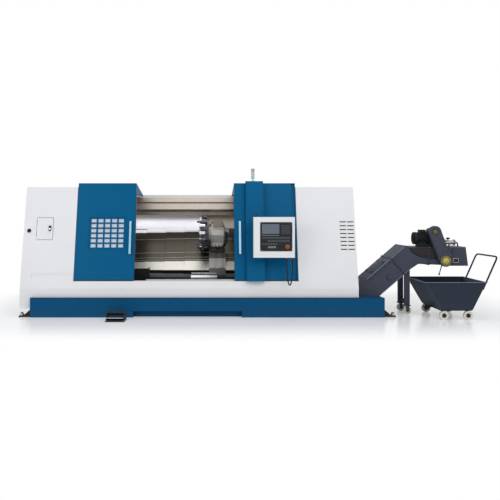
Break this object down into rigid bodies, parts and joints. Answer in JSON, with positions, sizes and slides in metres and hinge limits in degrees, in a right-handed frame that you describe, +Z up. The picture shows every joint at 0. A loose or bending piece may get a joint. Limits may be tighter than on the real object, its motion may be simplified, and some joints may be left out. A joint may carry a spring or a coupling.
{
  "type": "slant bed lathe",
  "caption": "Slant bed lathe with wrap-over sliding doors, operator panel, turret, telescopic way covers, chip conveyor and chip cart.",
  "frame": {"origin": "on the floor, at the middle of the underside of the blue base", "axes": "+X along the machine towards the conveyor, +Y towards the back, +Z up"},
  "size_m": [7.592, 2.6, 2.414],
  "materials": {
    "blue_paint": "satin textured enamel",
    "white_paint": "satin textured enamel",
    "dark_paint": "satin enamel",
    "black_iron": "satin enamel",
    "steel": "brushed",
    "cast_grey": "painted and machined",
    "black_plastic": "matt",
    "window_glass": "clear, behind a grille",
    "cable_rubber": "matt",
    "lamp_plastic": "gloss",
    "wheel_plastic": "moulded"
  },
  "bodies": {
    "root": {"base": "blue_paint", "levelling_feet": "black_iron", "left_cabinet": "white_paint", "right_cabinet": "white_paint", "front_sill": "white_paint", "door_rail": "steel", "headstock_housing": "white_paint", "inner_guards": "steel", "rear_housing": "white_paint", "rear_panels": "white_paint", "roof_beam": "steel", "back_panel": "steel", "slant_bed": "cast_grey", "bed_rails": "steel", "chip_trough": "black_iron", "cover_left_1": "steel", "cover_right_1": "steel", "conveyor_casing": "dark_paint", "discharge_hood": "dark_paint", "conveyor_valve": "steel", "chain_guard": "dark_paint", "conveyor_motor": "black_iron", "conveyor_legs": "dark_paint", "cart_hopper": "dark_paint", "cart_handle": "black_iron", "cart_frame": "black_iron", "pedal_base": "black_iron"},
    "access": {"access_door": "white_paint", "access_latch": "black_plastic"},
    "left_leaf": {"left_door": "blue_paint", "left_door_grille": "blue_paint", "left_door_pane": "window_glass", "left_door_handle": "steel"},
    "right_leaf": {"right_door": "blue_paint", "right_door_handle": "steel", "panel_post": "blue_paint", "signal_lamp": "lamp_plastic"},
    "panel": {"panel_box": "white_paint", "panel_face": "black_plastic", "panel_cable": "cable_rubber"},
    "spindle": {"chuck": "steel"},
    "carriage": {"saddle": "cast_grey", "cover_left_4": "steel", "cover_right_3": "steel"},
    "left_cover_inner": {"cover_left_2": "steel"},
    "left_cover_outer": {"cover_left_3": "steel"},
    "right_cover_middle": {"cover_right_2": "steel"},
    "slide": {"cross_slide": "cast_grey", "turret_housing": "white_paint"},
    "turret": {"turret_disc": "steel"},
    "tail": {"tailstock": "white_paint"},
    "pedal": {"pedal_plate": "steel"},
    "caster_1": {"conveyor_wheel_1": "wheel_plastic"},
    "caster_2": {"conveyor_wheel_2": "wheel_plastic"},
    "wheel_1": {"cart_wheel_1": "wheel_plastic"},
    "wheel_2": {"cart_wheel_2": "wheel_plastic"},
    "wheel_3": {"cart_wheel_3": "wheel_plastic"},
    "wheel_4": {"cart_wheel_4": "wheel_plastic"}
  },
  "joints": [
    {"name": "left_door_slide", "type": "slide", "parent": "root", "child": "left_leaf", "axis": [1, 0, 0], "range_m": [0, 0.813]},
    {"name": "right_door_slide", "type": "slide", "parent": "root", "child": "right_leaf", "axis": [-1, 0, 0], "range_m": [0, 0.813]},
    {"name": "panel_swivel", "type": "hinge", "parent": "right_leaf", "child": "panel", "pos_m": [0.819, -1.185, 1.288], "axis": [0, 0, -1], "range_deg": [0, 90]},
    {"name": "access_hinge", "type": "hinge", "parent": "root", "child": "access", "pos_m": [-2.805, -0.81852, 1.4], "axis": [0, -0.225, -0.9744], "range_deg": [0, 100]},
    {"name": "carriage_slide", "type": "slide", "parent": "root", "child": "carriage", "axis": [-1, 0, 0], "range_m": [0, 1]},
    {"name": "left_cover_inner_slide", "type": "slide", "parent": "root", "child": "left_cover_inner", "axis": [-1, 0, 0], "range_m": [0, 0.334]},
    {"name": "left_cover_outer_slide", "type": "slide", "parent": "root", "child": "left_cover_outer", "axis": [-1, 0, 0], "range_m": [0, 0.667]},
    {"name": "right_cover_slide", "type": "slide", "parent": "root", "child": "right_cover_middle", "axis": [-1, 0, 0], "range_m": [0, 0.5]},
    {"name": "cross_feed", "type": "slide", "parent": "carriage", "child": "slide", "axis": [0, -0.7071, -0.7071], "range_m": [0, 0.3]},
    {"name": "turret_index", "type": "hinge", "parent": "slide", "child": "turret", "pos_m": [-0.05, 0.00022, 1.33022], "axis": [1, 0, 0], "continuous": true},
    {"name": "tailstock_slide", "type": "slide", "parent": "root", "child": "tail", "axis": [1, 0, 0], "range_m": [0, 0.35]},
    {"name": "spindle_turn", "type": "hinge", "parent": "root", "child": "spindle", "pos_m": [-1.4, -0.33, 1], "axis": [1, 0, 0], "continuous": true},
    {"name": "pedal_press", "type": "hinge", "parent": "root", "child": "pedal", "pos_m": [-1.419, -1.28, 0.04], "axis": [1, 0, 0], "range_deg": [0, 6]},
    {"name": "caster_1_spin", "type": "hinge", "parent": "root", "child": "caster_1", "pos_m": [3.31, -0.77, 0.062], "axis": [0, 1, 0], "continuous": true},
    {"name": "caster_2_spin", "type": "hinge", "parent": "root", "child": "caster_2", "pos_m": [3.31, -0.45, 0.062], "axis": [0, 1, 0], "continuous": true},
    {"name": "wheel_1_spin", "type": "hinge", "parent": "root", "child": "wheel_1", "pos_m": [3.7, -1.305, 0.07], "axis": [0, 1, 0], "continuous": true},
    {"name": "wheel_2_spin", "type": "hinge", "parent": "root", "child": "wheel_2", "pos_m": [4.076, -1.305, 0.07], "axis": [0, 1, 0], "continuous": true},
    {"name": "wheel_3_spin", "type": "hinge", "parent": "root", "child": "wheel_3", "pos_m": [3.7, -0.565, 0.07], "axis": [0, 1, 0], "continuous": true},
    {"name": "wheel_4_spin", "type": "hinge", "parent": "root", "child": "wheel_4", "pos_m": [4.076, -0.565, 0.07], "axis": [0, 1, 0], "continuous": true}
  ],
  "couplings": [
    {"joint": "left_cover_inner_slide", "follows": "carriage_slide", "ratio": 0.3333},
    {"joint": "left_cover_outer_slide", "follows": "carriage_slide", "ratio": 0.6667},
    {"joint": "right_cover_slide", "follows": "carriage_slide", "ratio": 0.5}
  ]
}
